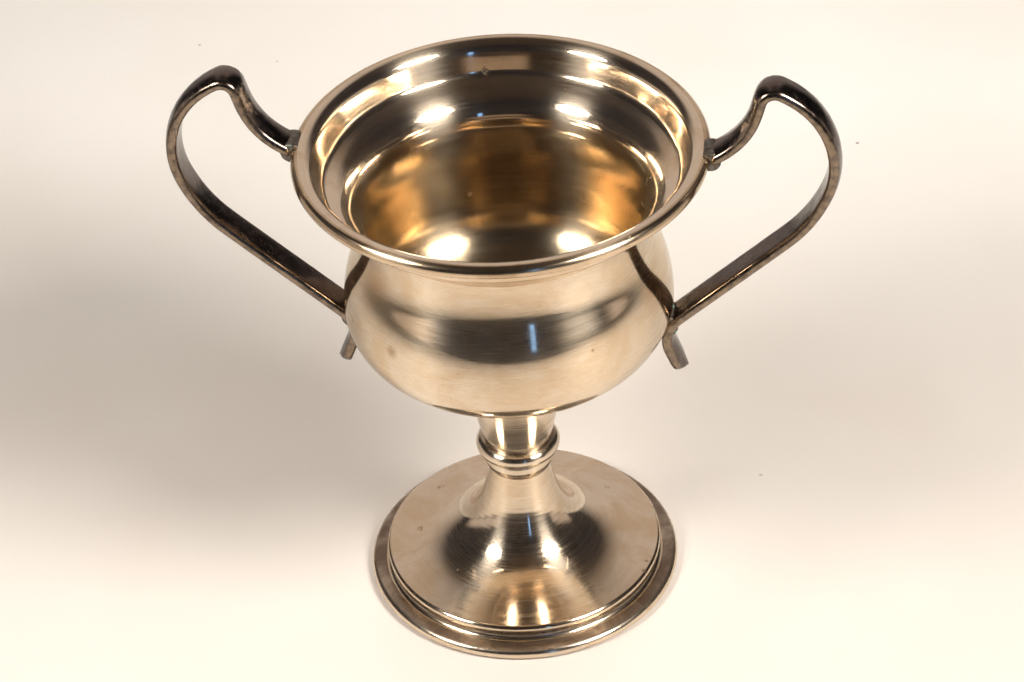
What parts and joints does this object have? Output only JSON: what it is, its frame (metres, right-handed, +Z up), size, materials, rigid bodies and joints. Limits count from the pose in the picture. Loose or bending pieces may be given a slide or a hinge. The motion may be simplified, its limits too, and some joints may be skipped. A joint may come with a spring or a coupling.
{
  "type": "cup trophy",
  "caption": "Small cup trophy with a strap handle on each side: a waisted bowl with a wired rim, on a hollow stem and a round spun foot, in polished silver plate.",
  "frame": {"origin": "centre of the ring that the foot stands on, at table height", "axes": "+Z up along the cup's axis, the two handles lie in the XZ plane, +Y through the plain sides"},
  "size_m": [0.0938, 0.058, 0.087],
  "materials": {
    "silver": "polished silver plate, slightly tarnished, with fine scratches",
    "dark_silver": "silver plate, worn and darkened",
    "solder": "dull grey solder"
  },
  "bodies": {
    "root": {"bowl": "silver", "rim_wire": "silver", "left_handle": "dark_silver", "right_handle": "dark_silver", "stem_sleeve": "silver", "knop_ring": "silver", "neck_ring": "silver", "foot": "silver", "base_wire": "silver", "bowl_solder": "solder", "left_rim_solder": "solder", "right_rim_solder": "solder", "left_tail_solder": "solder", "right_tail_solder": "solder"}
  },
  "joints": []
}
